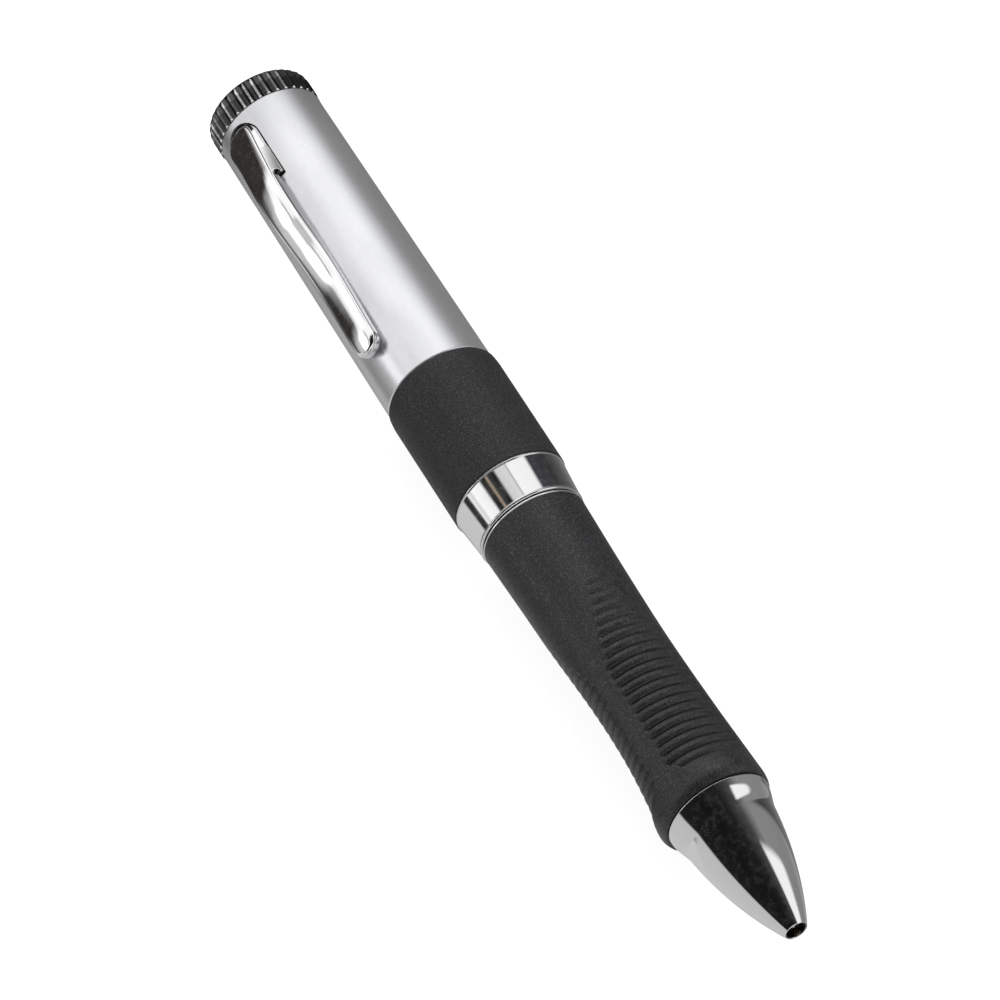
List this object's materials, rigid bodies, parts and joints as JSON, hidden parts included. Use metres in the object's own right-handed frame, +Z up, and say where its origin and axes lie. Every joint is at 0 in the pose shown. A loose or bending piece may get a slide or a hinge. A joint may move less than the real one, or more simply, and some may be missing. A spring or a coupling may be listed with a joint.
{
  "type": "usb flash drive pen",
  "caption": "Twist-action ballpoint pen with a USB flash drive under its satin silver pull-off cap, black soft-touch collar, ribbed rubber grip and chrome nose",
  "frame": {"origin": "middle of the pen's footprint, on the surface that it lies on", "axes": "+X along the pen from the finial to the writing tip, +Z up as the pen lies on its collar, clip rolled 54 degrees from up towards -Y"},
  "size_m": [0.1396, 0.0156, 0.0151],
  "materials": {
    "satin_aluminium": "satin, anodised",
    "chrome": "bright plated",
    "soft_touch": "soft-touch coating",
    "grip_rubber": "moulded, matt",
    "black_plastic": "moulded",
    "natural_plastic": "moulded, undyed",
    "machined_aluminium": "turned",
    "brass": "turned",
    "spring_steel": "ground",
    "plug_steel": "nickel plated",
    "gold": "gold flash",
    "circuit_board": "solder mask",
    "chip_epoxy": "moulded epoxy",
    "seal_rubber": "moulded"
  },
  "bodies": {
    "middle": {"centre_collar": "soft_touch", "trim_band": "chrome", "collar_core": "machined_aluminium", "usb_holder": "black_plastic", "cap_seal_ring": "seal_rubber", "usb_shell": "plug_steel", "usb_tongue": "natural_plastic", "usb_contact_1": "gold", "usb_contact_2": "gold", "usb_contact_3": "gold", "usb_contact_4": "gold", "circuit_board": "circuit_board", "memory_chip": "chip_epoxy", "controller_chip": "chip_epoxy", "crystal_can": "plug_steel", "guide_tube": "machined_aluminium"},
    "cap": {"cap_tube": "satin_aluminium", "clip_insert": "black_plastic", "clip_pin": "spring_steel", "knurled_finial": "chrome"},
    "clip": {"pocket_clip": "chrome"},
    "front": {"grip_ring": "chrome", "front_barrel": "black_plastic", "thread_bush": "brass", "rubber_grip": "grip_rubber", "nose_cone": "chrome", "cam_sleeve": "brass", "friction_ring": "seal_rubber"},
    "refill": {"refill_carrier": "natural_plastic", "follower_pin": "spring_steel", "refill_tube": "brass", "refill_tip": "brass", "writing_ball": "spring_steel"}
  },
  "joints": [
    {"name": "cap_slide", "type": "slide", "parent": "middle", "child": "cap", "axis": [-1, 0, 0], "range_m": [0, 0.06]},
    {"name": "clip_flex", "type": "hinge", "parent": "cap", "child": "clip", "pos_m": [-0.06138, -0.00314, 0.01003], "axis": [0, -0.5878, -0.809], "range_deg": [0, 3], "stiffness_Nm_per_rad": 3.4},
    {"name": "twist", "type": "hinge", "parent": "middle", "child": "front", "pos_m": [-0.00144, 0.0003, 0.00754], "axis": [1, 0, 0], "range_deg": [0, 180]},
    {"name": "refill_slide", "type": "slide", "parent": "middle", "child": "refill", "axis": [1, 0, 0], "range_m": [0, 0.0052]}
  ],
  "couplings": [
    {"joint": "twist", "follows": "refill_slide", "rad_per_m": 604.15}
  ]
}
